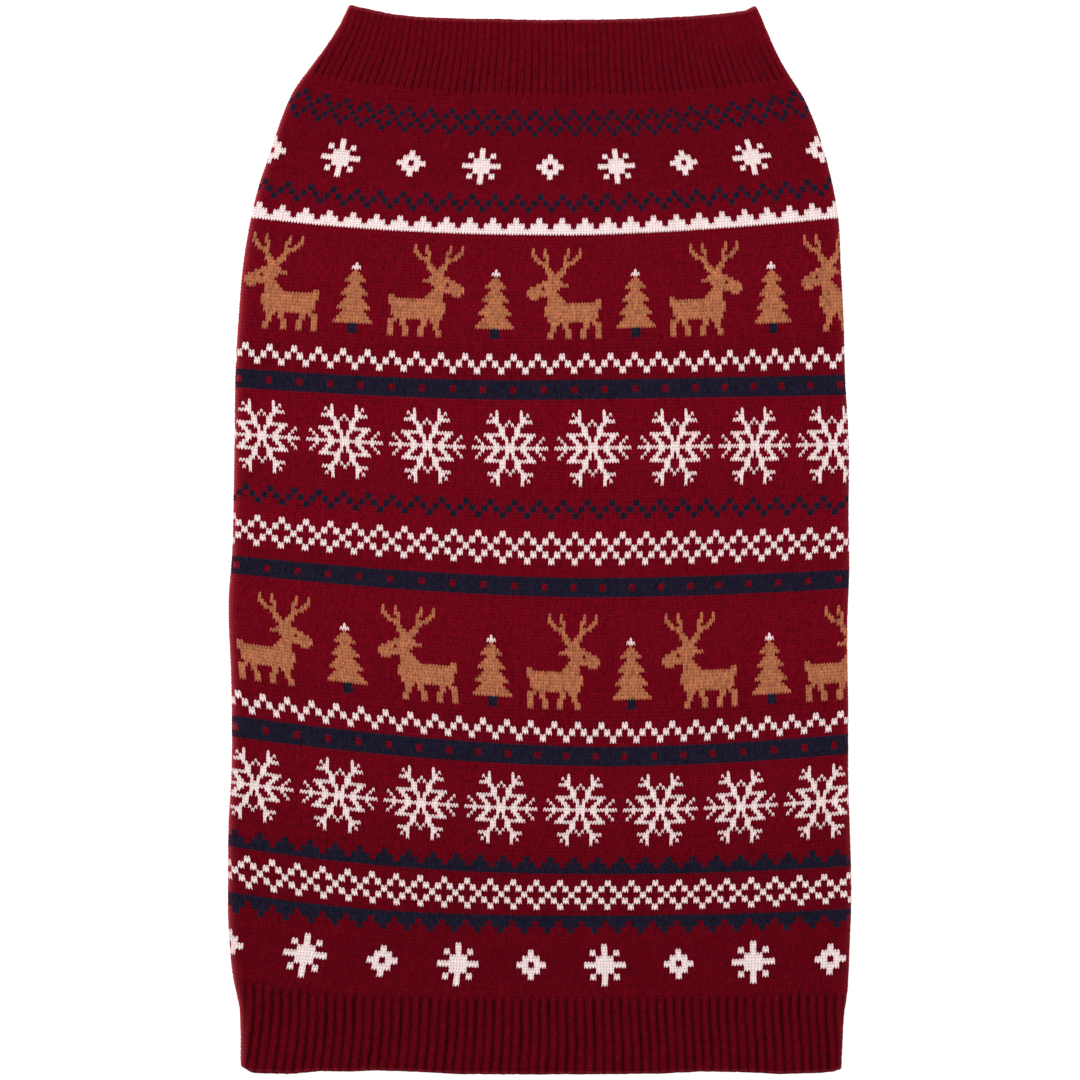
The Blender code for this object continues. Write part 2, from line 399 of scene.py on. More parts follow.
# Each row is one band: the height of its upper edge on the centre line, its rows of stitches and,
# if it isn't plain, its chart and the wale where the chart starts
Band = namedtuple("Band", "top rows chart start", defaults=(["."], 0))
BANDS = [
    Band(296.6, NECK_ROWS),
    Band(253.8, 4),
    Band(245.1, 10, border(LATTICE, "n"), 6),
    Band(229.8, 4),
    Band(222.6, 14, in_colour(STARS, "w"), 17),
    Band(202.4, 3),
    Band(197.0, 6, border(ZIGZAG, "n"), 4),
    Band(186.5, 2),
    Band(183.3, 6, border(CROWN, "w"), 1),
    Band(173.9, 4),
    Band(166.0, 28, FOREST, 4),
    Band(114.5, 4),
    Band(106.0, 6, border(ZIGZAG, "w"), 5),
    Band(94.5, 2),
    Band(91.1, 6, border(DOTTED, "n"), 9),
    Band(79.9, 3),
    Band(73.7, 23, in_colour(FLAKES, "w"), 25),
    Band(30.3, 4),
    Band(22.7, 6, border(ZIGZAG, "n"), 5),
    Band(11.7, 4),
    Band(4.5, 10, border(LATTICE, "w"), 6),
    Band(-14.1, 4),
    Band(-21.3, 6, border(DOTTED, "n"), 9),
    Band(-32.3, 5),
    Band(-42.0, 28, FOREST, 51),
    Band(-96.2, 3),
    Band(-103.3, 6, border(ZIGZAG, "w"), 3),
    Band(-114.9, 1),
    Band(-117.2, 6, border(DOTTED, "n"), 7),
    Band(-128.4, 3),
    Band(-133.2, 23, in_colour(FLAKES, "w"), 22),
    Band(-173.9, 3),
    Band(-180.7, 6, border(CROWN, "n"), 7),
    Band(-190.2, 2),
    Band(-193.9, 10, border(LATTICE, "w"), 3),
    Band(-210.7, 2),
    Band(-214.0, 6, border(CROWN[::-1], "n"), 6),
    Band(-224.3, 3),
    Band(-230.3, 14, in_colour(STARS, "w"), 13),
    Band(-254.3, 3),
    Band(-261.2, HEM_ROWS),
]
HEM_EDGE = -305.2
BAND_STARTS = np.cumsum([0] + [band.rows for band in BANDS])
BAND_TOPS = np.array([band.top for band in BANDS] + [HEM_EDGE])
ROWS = int(BAND_STARTS[-1])
BODY_FIRST_ROW = NECK_ROWS
BODY_LAST_ROW = ROWS - HEM_ROWS

# Yarns, linear colours: ground, off-white, navy, tan
YARNS = {
    ".": (0.182, 0.0022, 0.0102),
    "w": (0.94, 0.78, 0.77),
    "n": (0.0132, 0.0112, 0.0255),
    "t": (0.515, 0.178, 0.083),
}
LETTERS = "".join(YARNS)
GROUND = LETTERS.index(".")
NAVY = LETTERS.index("n")
YARN_TABLE = np.array([YARNS[letter] for letter in LETTERS])
# What differs from yarn to yarn, in the same order
MOTTLE = np.array([0.15, 0.04, 0.20, 0.20])        # how uneven its colour is
# Painted shade in each stitch's hollows: the share of the yarn's colour left in the hole, the groove
# and at the foot
NOTCH_SHADE = np.array([0.30, 0.30, 0.50, 0.08])    # how light the hole below a stitch's middle is
SIDE_SHADE = np.array([0.70, 0.85, 0.80, 0.55])     # and the groove between the heads of two
FOOT_SHADE = np.array([0.95, 1.00, 1.00, 0.95])     # and each leg's foot
PAINTED_SHEEN_TAKEN = np.array([1.0, 1.0, 0.15, 1.0])      # how much of the painted sheen it shows
GROOVE_TONE = 1.3             # how light the ground's yarn is where it shows in a groove
MOTTLE_RANGE = (0.45, 1.55)   # the darkest and the lightest that unevenness makes a place
STREAK = 0.035                # how uneven whole wales and rows are
# Painted highlight on the ribs' crests, and painted shade that darkens their valleys
RIB_CREST_HIGHLIGHT = 1.05
RIB_SHADE_PER_MM = 0.50          # and how much darker the ribbing is for each mm that it sinks
RIM_COLOUR = 0.8 * YARN_TABLE[GROUND]
# The yarn is painted paler along the folds and the free edges, a painted sheen highlight that is
# strongest on the left fold and along the neck, where the light comes from
PAINTED_SHEEN = np.array([0.58, 0.060, 0.082])
PAINTED_SHEEN_WALES = 1.9
PAINTED_SHEEN_ROWS = 0.5
PAINTED_SHEEN_LEFT = 1.0
PAINTED_SHEEN_RIGHT = 0.25
PAINTED_SHEEN_NECK = 0.8
PAINTED_SHEEN_HEM = 0.3
# Painted light and shade on the ground yarn: lighter in some stretches than in others as the light
# falls, and darkest towards the hem
Shade = namedtuple("Shade", "middle ground")
GROUND_SHADES = [
    Shade(296.6, 0.86),
    Shade(211.0, 0.84),
    Shade(188.0, 0.90),
    Shade(120.0, 0.92),
    Shade(97.0, 0.85),
    Shade(74.0, 0.95),
    Shade(51.0, 1.03),
    Shade(28.0, 0.93),
    Shade(5.0, 1.01),
    Shade(-17.0, 0.90),
    Shade(-40.0, 0.97),
    Shade(-63.0, 0.95),
    Shade(-109.0, 0.85),
    Shade(-132.0, 0.91),
    Shade(-155.0, 0.89),
    Shade(-177.0, 0.81),
    Shade(-246.0, 0.73),
    Shade(-305.2, 0.72),
]

# Meshes
INNER_STEP = 4                # every how many points the inside has one
FIRST_RAISED = -4             # the wales between which each leg of a stitch has its crest
LAST_RAISED = 210
BACK_ROWS = 94                # rows in each of the back panel's first two meshes
BACK_SPLITS = [BODY_FIRST_ROW + BACK_ROWS * i for i in range(3)] + [BODY_LAST_ROW]
OUTSIDE = 0                   # material slots
INSIDE = 1
# Where the outside, the inside and the rims lie on the map for baking, from and to
OUTSIDE_BAND = (0.0, 0.86)
INSIDE_BAND = (0.87, 0.93)
ROLL_BANDS = [(0.935, 0.944), (0.947, 0.956)]
CLOSING_BANDS = [(0.960, 0.963), (0.967, 0.970)]
RIM_BANDS = [(0.975, 0.979), (0.982, 0.986), (0.989, 0.993), (0.996, 1.0)]

# Numbers without order: those that mix have no meaning, and each use has a kind of its own
SCATTER_MIX = (12.9898, 78.233, 37.719)
SCATTER_STRETCH = 43758.5453
ACROSS, ALONG, DEPTH, WALE_STREAK, ROW_STREAK = range(1, 6)


def smooth(y, at, values):
    """Values of a table whose rows run down the garment, read at y on a smooth curve."""
    at = np.array(at)[::-1]
    values = np.array(values)[::-1]
    slope = np.gradient(values, at)
    i = np.clip(np.searchsorted(at, y) - 1, 0, len(at) - 2)
    span = at[i + 1] - at[i]
    t = np.clip((y - at[i]) / span, 0.0, 1.0)
    before = (2 * t**3 - 3 * t**2 + 1) * values[i] + (t**3 - 2 * t**2 + t) * span * slope[i]
    after = (3 * t**2 - 2 * t**3) * values[i + 1] + (t**3 - t**2) * span * slope[i + 1]
    return before + after


def column(table, name, y):
    """One column of a table, read at y."""
    return smooth(y, [row.middle for row in table], [getattr(row, name) for row in table])


def row_height(row):
    """A row's height on the centre line."""
    return np.interp(row, BAND_STARTS, BAND_TOPS)


def scatter(a, b, kind):
    """Numbers from -1 to 1 without order, and the same each time for the same a, b and kind."""
    mix_a, mix_b, mix_kind = SCATTER_MIX
    value = np.sin(a * mix_a + b * mix_b + kind * mix_kind) * SCATTER_STRETCH
    return 2 * (value - np.floor(value)) - 1


def edge_wave(x, row):
    """How far the waves of the free edges move a place. They fade out over the ribbing."""
    neck = np.interp(x, *zip(*NECK_WAVES))
    hem = np.interp(x, *zip(*HEM_WAVES))
    neck_share = np.clip(1.0 - row / NECK_ROWS, 0.0, 1.0) ** 2
    hem_share = np.clip(1.0 - (ROWS - row) / HEM_ROWS, 0.0, 1.0) ** 2
    return neck * neck_share + hem * hem_share


def bow_height(x, middle, left, right):
    """The height of the course that crosses the centre line at middle, read at x."""
    low, left_rise, left_power, right_rise, right_power = (
        column(BOW, name, middle) for name in Bow._fields[1:]
    )

    def bow(at):
        to_left = np.clip((low - at) / (low - left), 0.0, 1.0)
        to_right = np.clip((at - low) / (right - low), 0.0, 1.0)
        return left_rise * to_left**left_power + right_rise * to_right**right_power

    return middle + bow(x) - bow(CENTRE_LINE)


def top_height(x, left, right):
    """The height of the upper layer, which is lowest midway between the folds."""
    t = np.clip((x - (left + right) / 2) / ((right - left) / 2), -1.0, 1.0)
    return MIDDLE_HEIGHT + (FOLD_HEIGHT - MIDDLE_HEIGHT) * np.abs(t) ** FOLD_SWELL


def crease_height(x, y):
    """How much the upper layer rises or sinks at a place."""
    total = np.zeros_like(x)
    for crease in CREASES:
        run_x, run_y = crease.x1 - crease.x0, crease.y1 - crease.y0
        length = math.hypot(run_x, run_y)
        along = ((x - crease.x0) * run_x + (y - crease.y0) * run_y) / length
        across = ((x - crease.x0) * run_y - (y - crease.y0) * run_x) / length
        past = np.maximum(np.maximum(-along, along - length), 0.0)
        fade = np.exp(-((across / crease.width) ** 2) - (past / CREASE_END) ** 2)
        total += crease.height * fade
    return total


def from_middle(wale):
    """The wale as counted on a tube that is cut along the middle of the underside."""
    return np.where(wale >= UNDER_MIDDLE, wale - TUBE_WALES, wale)


def spread_wales(wale, middle):
    """Where a wale lies with its drift, in wales of an even spread."""
    drift = [column(DRIFT, f"w{station}", middle) for station in DRIFT_WALES]
    seam = (drift[0] + drift[-1]) / 2
    stations = [UNDER_MIDDLE - TUBE_WALES, *DRIFT_WALES, UNDER_MIDDLE]
    values = [seam, *drift, seam]
    moved = np.zeros_like(wale)
    for i in range(len(stations) - 1):
        share = (wale - stations[i]) / (stations[i + 1] - stations[i])
        inside = (share >= 0) & (share <= 1)
        moved = np.where(inside, values[i] * (1 - share) + values[i + 1] * share, moved)
    return wale + moved


def place(wale, row, depth):
    """Points on the tube at these wales and rows, depth below its outer surface."""
    wale, row, depth = np.broadcast_arrays(
        np.asarray(wale, float), np.asarray(row, float), np.asarray(depth, float)
    )
    wale = from_middle(wale)
    middle = row_height(row)
    left = column(OUTLINE, "left", middle)
    right = column(OUTLINE, "right", middle)
    half_tube = right - left - 2 * FOLD_DEPTH + 2 * QUARTER_FOLD
    run = spread_wales(wale, middle) * half_tube / UPPER_WALES

    by_left = run < half_tube / 2
    side = np.where(by_left, -1.0, 1.0)
    from_fold = np.where(by_left, run, half_tube - run)
    turn = np.clip(from_fold / QUARTER_FOLD, -1.0, 1.0) * math.pi / 2
    inward = np.abs(from_fold) - QUARTER_FOLD
    past_fold = np.abs(turn) > FULL_TURN
    upper = past_fold & (turn > 0)

    fold_x = np.where(by_left, left + FOLD_DEPTH, right - FOLD_DEPTH)
    x = fold_x - side * np.maximum(inward, 0.0) + side * FOLD_DEPTH * np.cos(turn)
    half_height = top_height(fold_x, left, right) / 2
    z = half_height + half_height * np.sin(turn)
    z = np.where(upper, top_height(x, left, right), z)
    normal_x = np.where(past_fold, 0.0, side * np.cos(turn))
    normal_z = np.where(past_fold, np.sign(turn), np.sin(turn))
    x = x + SHIFT_ACROSS * scatter(wale, row, ACROSS)
    y = bow_height(x, middle, left, right) + edge_wave(x, row)
    y = y + SHIFT_ALONG * scatter(wale, row, ALONG)
    z = z + np.where(upper, crease_height(x, y) * np.clip(inward / CREASE_END, 0.0, 1.0), 0.0)
    return np.stack([x - normal_x * depth, y, z - normal_z * depth], axis=-1)


def chart_letters(first_wale, wales, first_row, rows):
    """Which yarn each stitch of a block has, as places in LETTERS."""
    found = np.zeros((rows, wales), int)
    for band, start in zip(BANDS, BAND_STARTS):
        for i, row in enumerate(range(start, start + band.rows)):
            if not first_row <= row < first_row + rows:
                continue
            line = band.chart[i % len(band.chart)]
            codes = np.array([LETTERS.index(letter) for letter in line])
            wale = first_wale + np.arange(wales)
            found[row - first_row] = codes[(wale - band.start) % len(line)]
    return found


def rib_depth(half_wale, row):
    """How far the ribbing sinks, at a half wale counted from the left fold and at a row."""
    near_neck = row < ROWS / 2
    depth = np.zeros(np.broadcast_shapes(np.shape(half_wale), np.shape(row)))
    for ribbing, chosen in ((NECK_RIBBING, near_neck), (HEM_RIBBING, ~near_neck)):
        from_start = half_wale - 2 * ribbing.start
        pattern = np.array(ribbing.depths)[np.mod(from_start, len(ribbing.depths))]
        valley = (from_start + len(ribbing.depths) // 2) // len(ribbing.depths)
        sway = np.sin(QUICK_WAVE * valley) + np.sin(SLOW_WAVE * valley + SLOW_WAVE_ALONG * row)
        to_edge = np.minimum(row, ROWS - row) / NECK_ROWS
        strength = ribbing.at_edge + (ribbing.at_body - ribbing.at_edge) * np.clip(to_edge, 0, 1)
        uneven = pattern * strength * (1 + RIB_UNEVEN * (sway / 2 - 0.5))
        depth = np.where(chosen, uneven, depth)
    flat_across = np.clip((half_wale / 2 - FLAT_FROM) / (FLAT_TO - FLAT_FROM), 0.0, 1.0)
    flat_along = np.clip((FLAT_ROWS - row) / FLAT_ROWS * 2, 0.0, 1.0)
    flat = np.where(half_wale > 2 * LAST_RAISED, 0.0, flat_across * flat_along)
    depth = depth * (1 - FLAT_LOSS * flat)
    to_body = np.maximum(BODY_FIRST_ROW - row, row - BODY_LAST_ROW)
    return depth * np.clip(to_body / RIB_ROW_FADE, 0.0, 1.0)


def edge_depth(row):
    """How far the very first and last courses are rounded off."""
    from_edge = np.minimum(row, ROWS - row)
    return EDGE_ROUND * np.clip(1.0 - from_edge, 0.0, 1.0) ** 2


def zip_lines(a, b, at_a=None, at_b=None):
    """Triangles between two lines of points whose ends belong together.

    at_a and at_b say how far along each line its points are, from 0 to 1, and are even if not given.
    """
    at_a = np.linspace(0.0, 1.0, len(a)) if at_a is None else at_a
    at_b = np.linspace(0.0, 1.0, len(b)) if at_b is None else at_b
    made = []
    i = j = 0
    while i < len(a) - 1 or j < len(b) - 1:
        ahead_a = at_a[i + 1] if i < len(a) - 1 else math.inf
        ahead_b = at_b[j + 1] if j < len(b) - 1 else math.inf
        if ahead_a <= ahead_b:
            made.append((a[i], b[j], a[i + 1]))
            i += 1
        else:
            made.append((a[i], b[j], b[j + 1]))
            j += 1
    return made


class Cloth:
    """The points and triangles of one piece of cloth, outside, inside and rim."""

    def __init__(self):
        self.points = []
        self.count = 0
        self.triangles = []
        self.colours = []
        self.stitches = []
        self.maps = []
        self.slots = []

    def add_points(self, points):
        flat = points.reshape(-1, 3)
        ids = np.arange(self.count, self.count + len(flat)).reshape(points.shape[:-1])
        self.points.append(flat)
        self.count += len(flat)
        return ids

    def add_triangles(self, triangles, colours, stitches, flat_map, slot):
        self.triangles.append(np.asarray(triangles).reshape(-1, 3))
        self.colours.append(np.asarray(colours, float).reshape(-1, 3, 3))
        self.stitches.append(np.asarray(stitches, float).reshape(-1, 3, 2))
        self.maps.append(np.asarray(flat_map, float).reshape(-1, 3, 2))
        self.slots.append(np.full(len(self.triangles[-1]), slot))

    def add_lining(self, triangles, colours, flat_map):
        """Adds triangles of the inside, which have no stitches."""
        self.add_triangles(triangles, colours, np.zeros((*triangles.shape, 2)), flat_map, INSIDE)


def in_band(u, v, band):
    """Places on the map for baking: u across, and v from 0 to 1 within a band."""
    u, v = np.broadcast_arrays(u, v)
    return np.stack([u, band[0] + (band[1] - band[0]) * v], axis=-1)


def corners_of(grid):
    """The values at the four corners of each cell of a grid, whose first line is the top one."""
    return {
        "top_left": grid[:-1, :-1],
        "top_right": grid[:-1, 1:],
        "low_left": grid[1:, :-1],
        "low_right": grid[1:, 1:],
    }


def underside_share(wale):
    """0 on the upper side and 1 on the underside, with a soft change round the folds."""
    from_fold = np.where(wale < UPPER_MIDDLE, -wale, wale - UPPER_WALES)
    from_fold = np.where(wale > UNDER_MIDDLE, TUBE_WALES - wale, from_fold)
    return np.clip((from_fold + CHANGE_START) / CHANGE_WALES, 0.0, 1.0)


def block_depth(half_wale, row, middle):
    """Depth of the grooves: at a stitch's middle and between stitches, and in the ribbing."""
    groove = np.where(middle, MIDDLE_GROOVE, SIDE_GROOVE)
    under = underside_share(half_wale / 2)
    flat_groove = np.where(middle, UNDERSIDE_CREST, UNDERSIDE_GROOVE)
    depth = groove * (1 - under) + flat_groove * under + edge_depth(row)
    depth = depth + SHIFT_DEPTH * scatter(half_wale / 2, row, DEPTH) * (1 - under)
    return depth + rib_depth(half_wale, row) * (1 - UNDERSIDE_RIB_LOSS * under)


def crest_depth(half_wale, row):
    """Depth of a leg's crest. It never goes below the floor on the underside."""
    under = underside_share(half_wale / 2 + HALF_LEG)
    crest = CREST + SHIFT_DEPTH * scatter(half_wale / 2, row, DEPTH)
    depth = crest * (1 - under) + UNDERSIDE_CREST * under
    ribbed = (rib_depth(half_wale, row) + rib_depth(half_wale + 1, row)) / 2
    return depth + ribbed * (1 - UNDERSIDE_RIB_LOSS * under)


def rib_shade(half_wale, row):
    """Painted shade and highlight on the ribbing: its valleys are painted dark and its crests a
    little lighter.
    """
    ribbed = (row < BODY_FIRST_ROW) | (row > BODY_LAST_ROW)
    tone = RIB_CREST_HIGHLIGHT - RIB_SHADE_PER_MM * rib_depth(half_wale, row)
    return np.where(ribbed, tone, 1.0)


def leg_colours(codes, row, half_wale, shade):
    """What colour each leg's yarn has at its corners and crest, and how far painted shade darkens it
    there.

    In the hole below a stitch's middle and in the groove between the heads of two stitches, a light
    yarn lets the ground's yarn show where the next row has it.
    """
    # The ground yarn with its painted shade for the row
    ground = YARN_TABLE[GROUND] * column(GROUND_SHADES, "ground", row_height(row))[..., None]
    plain = codes == GROUND
    yarn = np.where(plain[..., None], ground, YARN_TABLE[codes])
    light = ~plain & (codes != NAVY)
    plain_above = (np.concatenate([plain[:1], plain[:-1]]) & light)[..., None]
    plain_below = (np.concatenate([plain[1:], plain[-1:]]) & light)[..., None]
    groove = np.where(plain_above, GROOVE_TONE * ground, yarn)
    notch = np.where(plain_below, GROOVE_TONE * ground, yarn)
    # A right leg has the stitch's middle on its left
    right_leg = np.broadcast_to(half_wale % 2 == 1, codes.shape)
    chosen = right_leg[..., None]
    yarns = {
        "top_left": np.where(chosen, yarn, groove),
        "top_right": np.where(chosen, groove, yarn),
        "low_left": np.where(chosen, notch, yarn),
        "low_right": np.where(chosen, yarn, notch),
        "crest": yarn,
    }
    shades = corners_of(shade)
    # Painted shade in the hole, the groove and at each leg's foot, times the ribbing's painted shade
    # and highlight
    side_shade, notch_shade, foot_shade = SIDE_SHADE[codes], NOTCH_SHADE[codes], FOOT_SHADE[codes]
    tones = {
        "top_left": np.where(right_leg, 1.0, side_shade) * shades["top_left"],
        "top_right": np.where(right_leg, side_shade, 1.0) * shades["top_right"],
        "low_left": np.where(right_leg, notch_shade, foot_shade) * shades["low_left"],
        "low_right": np.where(right_leg, foot_shade, notch_shade) * shades["low_right"],
        "crest": (shades["top_left"] + shades["top_right"]) / 2,
    }
    return yarns, tones


def knit(cloth, first_wale, wales, first_row, rows, seed, keep=None):
    """Adds a block of stitches and gives back its grid of points.

    Each stitch has a left and a right leg. On the upper side a leg rises to a crest. keep says
    which legs are made, so that openings can be left out.
    """
    half_wale = (2 * first_wale + np.arange(2 * wales + 1))[None, :]
    middle = half_wale % 2 == 1
    line = (first_row + np.arange(rows + 1))[:, None]
    slant = np.where((line == 0) | (line == ROWS), EDGE_SLANT, LEG_SLANT)
    row = line + slant * (0.5 - middle)
    grid = cloth.add_points(place(half_wale / 2, row, block_depth(half_wale, row, middle)))

    left_edge = half_wale[:, :-1]
    leg_wale = left_edge / 2 + HALF_LEG
    leg_row = line[:-1] + HALF_ROW
    ids = corners_of(grid)
    ids["crest"] = cloth.add_points(place(leg_wale, leg_row, crest_depth(left_edge, leg_row)))
    leg_wale, leg_row = np.broadcast_arrays(leg_wale, leg_row)
    codes = np.repeat(chart_letters(first_wale, wales, first_row, rows), 2, axis=1)
    # Painted shade in each stitch's hollows and the ribbing's valleys, with a painted highlight on
    # the rib crests
    yarns, tones = leg_colours(codes, leg_row, left_edge, rib_shade(half_wale, row))
    spots = corners_of(np.stack(np.broadcast_arrays(half_wale / 2, line), axis=-1))
    spots["crest"] = np.stack([leg_wale, leg_row], axis=-1)
    made = np.ones(codes.shape, bool) if keep is None else keep(leg_wale, leg_row)
    raised = (left_edge >= 2 * FIRST_RAISED) & (left_edge < 2 * LAST_RAISED)
    kinds = [
        (raised, ("low_left", "low_right", "crest")),
        (raised, ("low_right", "top_right", "crest")),
        (raised, ("top_right", "top_left", "crest")),
        (raised, ("top_left", "low_left", "crest")),
        (~raised, ("low_left", "low_right", "top_right")),
        (~raised, ("low_left", "top_right", "top_left")),
    ]
    rng = np.random.default_rng(seed)
    streaks = scatter(left_edge, 0.0, WALE_STREAK) + scatter(0.0, leg_row, ROW_STREAK)
    # Painted sheen highlight along the folds and free edges, which lightens the yarn's colour
    sheened = (painted_sheen_share(leg_wale, leg_row) * PAINTED_SHEEN_TAKEN[codes])[..., None]
    mottle = rng.normal(0.0, 1.0, codes.shape)
    for chosen, names in kinds:
        pick = chosen & made
        patchy = (mottle + rng.normal(0.0, 1.0, codes.shape)) / math.sqrt(2)
        uneven = 1 + STREAK * streaks + MOTTLE[codes] * patchy
        uneven = np.clip(uneven, *MOTTLE_RANGE)[..., None]
        triangles = np.stack([ids[name][pick] for name in names], axis=-1)
        colours = []
        for name in names:
            base = yarns[name] * uneven
            base = np.maximum(base, base + (PAINTED_SHEEN - base) * sheened)
            colours.append(base[pick] * tones[name][pick][:, None])
        stitches = np.stack([spots[name][pick] for name in names], axis=1)
        across = (stitches[..., 0] - first_wale) / wales
        along = (stitches[..., 1] - first_row) / rows
        flat_map = in_band(across, along, OUTSIDE_BAND)
        cloth.add_triangles(triangles, np.stack(colours, axis=1), stitches, flat_map, OUTSIDE)
    return grid


def painted_sheen_share(wale, row):
    """How much painted sheen lightens the yarn, from 0 to 1."""
    run = spread_wales(from_middle(wale), row_height(row))
    left = PAINTED_SHEEN_LEFT * np.exp(-((run / PAINTED_SHEEN_WALES) ** 2))
    right = PAINTED_SHEEN_RIGHT * np.exp(-(((run - UPPER_WALES) / PAINTED_SHEEN_WALES) ** 2))
    neck = PAINTED_SHEEN_NECK * np.exp(-((row / PAINTED_SHEEN_ROWS) ** 2))
    hem = PAINTED_SHEEN_HEM * np.exp(-(((ROWS - row) / PAINTED_SHEEN_ROWS) ** 2))
    return np.clip(left + right + neck + hem, 0.0, 1.0)


def line_inside(cloth, grid, first_wale, first_row, keep=None):
    """Adds the inside of a block of stitches and the rim that joins it to the outside."""
    rows, columns = grid.shape
    across = np.unique(np.append(np.arange(0, columns, INNER_STEP), columns - 1))
    down = np.unique(np.append(np.arange(0, rows, INNER_STEP), rows - 1))
    wale = first_wale + across / 2
    row = first_row + down
    thickness = WALL - edge_depth(row.astype(float))[:, None]
    inner = cloth.add_points(place(wale[None, :], row[:, None], thickness))
    codes = chart_letters(first_wale, columns // 2, first_row, rows - 1)
    row_tint = YARN_TABLE[codes].mean(axis=1)[down[:-1]]
    on_map = in_band(across[None, :] / (columns - 1), down[:, None] / (rows - 1), INSIDE_BAND)
    made = np.ones((len(down) - 1, len(across) - 1), bool)
    if keep is not None:
        kept = keep(*np.broadcast_arrays(wale[None, :], row[:, None]))
        made = np.all(list(corners_of(kept).values()), axis=0)
    ids, places = corners_of(inner), corners_of(on_map)
    for names in (("low_left", "top_right", "low_right"), ("low_left", "top_left", "top_right")):
        triangles = np.stack([ids[name][made] for name in names], axis=-1)
        flat_map = np.stack([places[name][made] for name in names], axis=1)
        colours = np.broadcast_to(row_tint[:, None, None, :], (*made.shape, 3, 3))[made]
        cloth.add_lining(triangles, colours, flat_map)
    rims = [
        (grid[0], inner[0], True),
        (grid[-1], inner[-1], False),
        (grid[:, 0], inner[:, 0], False),
        (grid[:, -1], inner[:, -1], True),
    ]
    for (outside, inside, turned), band in zip(rims, RIM_BANDS):
        triangles = np.array(zip_lines(list(outside), list(inside)))
        if turned:
            triangles = triangles[:, ::-1]
        along = {point: (i / (len(outside) - 1), 0.0) for i, point in enumerate(outside)}
        along.update({point: (i / (len(inside) - 1), 1.0) for i, point in enumerate(inside)})
        at = np.array([[along[point] for point in triangle] for triangle in triangles])
        flat_map = in_band(at[..., 0], at[..., 1], band)
        cloth.add_lining(triangles, np.full((*triangles.shape, 3), RIM_COLOUR), flat_map)


def make_piece(name, cloth, materials):
    """The cloth as a mesh, with its yarn's colours, its stitches and its map for baking."""
    points = np.concatenate(cloth.points) * MM
    triangles = np.concatenate(cloth.triangles)
    colours = np.concatenate(cloth.colours).reshape(-1, 3)
    mesh = bpy.data.meshes.new(name)
    mesh.vertices.add(len(points))
    mesh.vertices.foreach_set("co", points.ravel())
    mesh.loops.add(triangles.size)
    mesh.loops.foreach_set("vertex_index", triangles.ravel())
    mesh.polygons.add(len(triangles))
    mesh.polygons.foreach_set("loop_start", np.arange(0, triangles.size, 3))
    mesh.polygons.foreach_set("material_index", np.concatenate(cloth.slots))
    mesh.update(calc_edges=True)
    mesh.shade_flat()
    yarn = mesh.attributes.new("yarn", "FLOAT_COLOR", "CORNER")
    yarn.data.foreach_set("color", np.column_stack([colours, np.ones(len(colours))]).ravel())
    for layer_name, places in (("stitches", cloth.stitches), ("OFBake", cloth.maps)):
        layer = mesh.uv_layers.new(name=layer_name)
        layer.data.foreach_set("uv", np.concatenate(places).ravel())
    for material in materials:
        mesh.materials.append(material)
    piece = bpy.data.objects.new(name, mesh)
    bpy.context.scene.collection.objects.link(piece)
    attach(piece, "root")
    return piece


# Yarn: its surface, its fine fibres, how light and dark they are, and the relief
YARN_SURFACE = {
    "Roughness": 0.95,
    "Specular IOR Level": 0.02,
    "Sheen Weight": 0.16,
    "Sheen Roughness": 0.3,
    "Sheen Tint": (1.0, 0.28, 0.34, 1.0),
}
FIBRES = {"Scale": 2600.0, "Detail": 3.0}
FIBRE_TONES = {"To Min": 0.78, "To Max": 1.22}
YARN_BUMP = {"Strength": 0.35, "Distance": 0.0002}
PLIES = 3.0                   # waves of twisted yarn for each row
PLY_SLANT = 5.0
PLY_SHARE = 0.25              # their height beside the fibres'


def set_inputs(shader_node, values):
    for name, value in values.items():
        shader_node.inputs[name].default_value = value


def node(tree, kind, inputs=None, **settings):
    made = tree.nodes.new(kind)
    for name, value in settings.items():
        setattr(made, name, value)
    set_inputs(made, inputs or {})
    return made


def math_node(tree, operation, *values):
    """A Math node, whose values are each a number or another node's output."""
    made = node(tree, "ShaderNodeMath", operation=operation)
    for socket, value in zip(made.inputs, values):
        if isinstance(value, (int, float)):
            socket.default_value = value
        else:
            tree.links.new(value, socket)
    return made.outputs["Value"]


def ply_height(tree):
    """The twisted plies of each leg's yarn: slanted waves that mirror from leg to leg."""
    stitches = node(tree, "ShaderNodeUVMap", uv_map="stitches")
    parts = node(tree, "ShaderNodeSeparateXYZ")
    tree.links.new(stitches.outputs["UV"], parts.inputs["Vector"])
    across = math_node(tree, "PINGPONG", parts.outputs["X"], 2 * HALF_LEG)
    slanted = math_node(tree, "MULTIPLY", across, PLY_SLANT)
    along = math_node(tree, "MULTIPLY", parts.outputs["Y"], PLIES)
    wave = math_node(tree, "ADD", slanted, along)
    return math_node(tree, "SINE", math_node(tree, "MULTIPLY", wave, 2 * math.pi))


